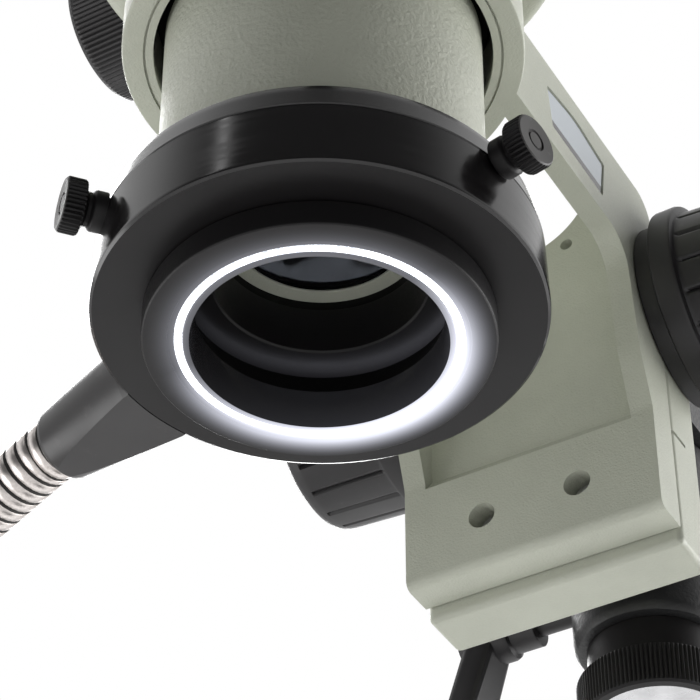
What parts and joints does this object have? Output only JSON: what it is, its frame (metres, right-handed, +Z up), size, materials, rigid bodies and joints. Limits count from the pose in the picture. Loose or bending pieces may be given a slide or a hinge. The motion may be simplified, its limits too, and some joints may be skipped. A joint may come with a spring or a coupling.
{
  "type": "stereo microscope",
  "caption": "Stereo microscope head with a fibre-optic ring light, focusing arm and rear pivot, on a boom stand with a cast base.",
  "frame": {"origin": "on the underside of the base mat, on the boom's centre plane and level with the column", "axes": "+Z up, -Y towards the user and the optical head, +X to the user's right"},
  "size_m": [0.445, 0.6113, 0.6785],
  "materials": {
    "grey_enamel": "fine textured grey-green enamel",
    "cast_base": "satin black enamel",
    "black_casting": "satin black enamel",
    "black_anodised": "glossy black anodising",
    "black_plastic": "satin moulded plastic",
    "rubber": "matt",
    "chrome": "polished chrome plate",
    "steel": "turned",
    "brass": "machined",
    "glass": "polished and coated",
    "fibre_end": "lit polished fibre ends",
    "conduit": "interlocked metal bands"
  },
  "bodies": {
    "stand": {"base_plate": "cast_base", "base_mat": "rubber", "column": "chrome", "column_flange": "cast_base", "column_cap": "black_plastic"},
    "collar": {"safety_collar": "black_casting"},
    "collar_screw": {"collar_screw": "black_anodised"},
    "clamp": {"cross_clamp": "black_casting"},
    "column_knob": {"column_clamp_knob": "black_plastic"},
    "boom_knob": {"boom_clamp_knob": "black_plastic"},
    "boom": {"boom_bar": "chrome", "boom_rear_cap": "black_plastic", "boom_end_casting": "black_casting"},
    "lever": {"swivel_lever": "black_plastic"},
    "carrier": {"swivel_bracket": "black_casting", "swivel_pin": "steel", "bracket_screw_1": "steel", "bracket_screw_2": "steel", "focus_block": "grey_enamel", "tension_ring_right": "black_plastic", "tension_ring_left": "black_plastic"},
    "retainer": {"retaining_knob": "black_anodised"},
    "focus_drive": {"pinion_shaft": "steel", "focus_knob_right": "black_plastic", "focus_knob_left": "black_plastic"},
    "arm": {"focus_arm": "grey_enamel", "arm_badge": "black_plastic", "arm_screw_1": "steel", "arm_screw_2": "steel", "dovetail_slide": "steel", "focus_rack": "brass"},
    "pod_lock": {"pod_lock_screw": "black_anodised"},
    "pod": {"pod_barrel": "grey_enamel", "lens_retaining_ring": "grey_enamel", "objective_lens": "glass", "pod_housing": "grey_enamel", "pod_cover": "grey_enamel"},
    "zoom_drive": {"zoom_shaft": "steel", "zoom_knob_right": "black_plastic", "zoom_knob_left": "black_plastic"},
    "zoom_lower": {"zoom_lens_lower": "brass"},
    "zoom_upper": {"zoom_lens_upper": "brass"},
    "ocular_left": {"prism_housing_left": "grey_enamel", "prism_left": "glass"},
    "dioptre_left": {"eyepiece_left": "black_plastic", "eyecup_left": "rubber"},
    "ocular_right": {"prism_housing_right": "grey_enamel", "prism_right": "glass"},
    "dioptre_right": {"eyepiece_right": "black_plastic", "eyecup_right": "rubber"},
    "ring_light": {"ring_light_body": "black_anodised", "ring_light_nose": "black_anodised", "fibre_ring": "fibre_end", "guide_sleeve": "black_plastic", "light_guide": "conduit", "light_guide_coil": "conduit", "source_connector": "steel"},
    "ring_screw_1": {"ring_light_screw_1": "black_anodised"},
    "ring_screw_2": {"ring_light_screw_2": "black_anodised"},
    "ring_screw_3": {"ring_light_screw_3": "black_anodised"}
  },
  "joints": [
    {"name": "height_slide", "type": "slide", "parent": "stand", "child": "collar", "axis": [0, 0, 1], "range_m": [-0.08, 0.06]},
    {"name": "boom_swing", "type": "hinge", "parent": "collar", "child": "clamp", "pos_m": [0.04, 0, 0.446], "axis": [0, 0, 1], "range_deg": [-30, 30]},
    {"name": "boom_extend", "type": "slide", "parent": "clamp", "child": "boom", "axis": [0, 1, 0], "range_m": [-0.06, 0.05]},
    {"name": "head_swivel", "type": "hinge", "parent": "boom", "child": "carrier", "pos_m": [0, -0.15, 0.446], "axis": [0, 0, 1], "range_deg": [-30, 45]},
    {"name": "focus_slide", "type": "slide", "parent": "carrier", "child": "arm", "axis": [0, 0, 1], "range_m": [-0.025, 0.025]},
    {"name": "focus_knob_turn", "type": "hinge", "parent": "carrier", "child": "focus_drive", "pos_m": [0, -0.1965, 0.471], "axis": [1, 0, 0], "range_deg": [-330, 330]},
    {"name": "pod_turn", "type": "hinge", "parent": "arm", "child": "pod", "pos_m": [0, -0.3075, 0.492], "axis": [0, 0, 1], "continuous": true},
    {"name": "ring_light_turn", "type": "hinge", "parent": "arm", "child": "ring_light", "pos_m": [0, -0.3075, 0.411], "axis": [0, 0, 1], "range_deg": [-20, 20], "deforming": ["light_guide", "light_guide_coil"]},
    {"name": "zoom_turn", "type": "hinge", "parent": "pod", "child": "zoom_drive", "pos_m": [0, -0.2905, 0.54], "axis": [1, 0, 0], "range_deg": [-60, 60]},
    {"name": "zoom_lower_slide", "type": "slide", "parent": "pod", "child": "zoom_lower", "axis": [0, 0, 1], "range_m": [-0.006, 0.006]},
    {"name": "zoom_upper_slide", "type": "slide", "parent": "pod", "child": "zoom_upper", "axis": [0, 0, 1], "range_m": [-0.006, 0.006]},
    {"name": "eye_spacing_right", "type": "hinge", "parent": "pod", "child": "ocular_right", "pos_m": [0.024, -0.3116, 0.59], "axis": [0, -0.7071, 0.7071], "range_deg": [-10, 10]},
    {"name": "eye_spacing_left", "type": "hinge", "parent": "pod", "child": "ocular_left", "pos_m": [-0.024, -0.3116, 0.59], "axis": [0, -0.7071, 0.7071], "range_deg": [-10, 10]},
    {"name": "dioptre_right_turn", "type": "hinge", "parent": "ocular_right", "child": "dioptre_right", "pos_m": [0.032, -0.30347, 0.59813], "axis": [0, -0.7071, 0.7071], "range_deg": [-60, 60]},
    {"name": "dioptre_left_turn", "type": "hinge", "parent": "ocular_left", "child": "dioptre_left", "pos_m": [-0.032, -0.30347, 0.59813], "axis": [0, -0.7071, 0.7071], "range_deg": [-60, 60]},
    {"name": "column_knob_turn", "type": "hinge", "parent": "clamp", "child": "column_knob", "pos_m": [0.0564, 0, 0.446], "axis": [1, 0, 0], "range_deg": [-90, 90]},
    {"name": "boom_knob_turn", "type": "hinge", "parent": "clamp", "child": "boom_knob", "pos_m": [-0.0144, 0, 0.446], "axis": [-1, 0, 0], "range_deg": [-90, 90]},
    {"name": "collar_screw_turn", "type": "hinge", "parent": "collar", "child": "collar_screw", "pos_m": [0.04, 0, 0.4102], "axis": [0, -1, 0], "range_deg": [-90, 90]},
    {"name": "lever_turn", "type": "hinge", "parent": "boom", "child": "lever", "pos_m": [-0.03, -0.15, 0.431], "axis": [1, 0, 0], "range_deg": [-10, 40]},
    {"name": "retaining_knob_turn", "type": "hinge", "parent": "carrier", "child": "retainer", "pos_m": [0, -0.15, 0.4], "axis": [0, 0, 1], "range_deg": [-90, 90]},
    {"name": "pod_lock_turn", "type": "hinge", "parent": "arm", "child": "pod_lock", "pos_m": [0, -0.3075, 0.4925], "axis": [0.5, -0.866, 0], "range_deg": [-90, 90]},
    {"name": "ring_screw_1_turn", "type": "hinge", "parent": "ring_light", "child": "ring_screw_1", "pos_m": [0, -0.3075, 0.4154], "axis": [0.9833, -0.1822, 0], "range_deg": [-90, 90]},
    {"name": "ring_screw_2_turn", "type": "hinge", "parent": "ring_light", "child": "ring_screw_2", "pos_m": [0, -0.3075, 0.4154], "axis": [-0.3338, 0.9426, 0], "range_deg": [-90, 90]},
    {"name": "ring_screw_3_turn", "type": "hinge", "parent": "ring_light", "child": "ring_screw_3", "pos_m": [0, -0.3075, 0.4154], "axis": [-0.6494, -0.7604, 0], "range_deg": [-90, 90]}
  ],
  "couplings": [
    {"joint": "focus_knob_turn", "follows": "focus_slide", "rad_per_m": -222.22},
    {"joint": "zoom_lower_slide", "follows": "zoom_turn", "m_per_rad": 0.0057},
    {"joint": "zoom_upper_slide", "follows": "zoom_turn", "m_per_rad": -0.0057},
    {"joint": "eye_spacing_left", "follows": "eye_spacing_right", "ratio": -1}
  ]
}
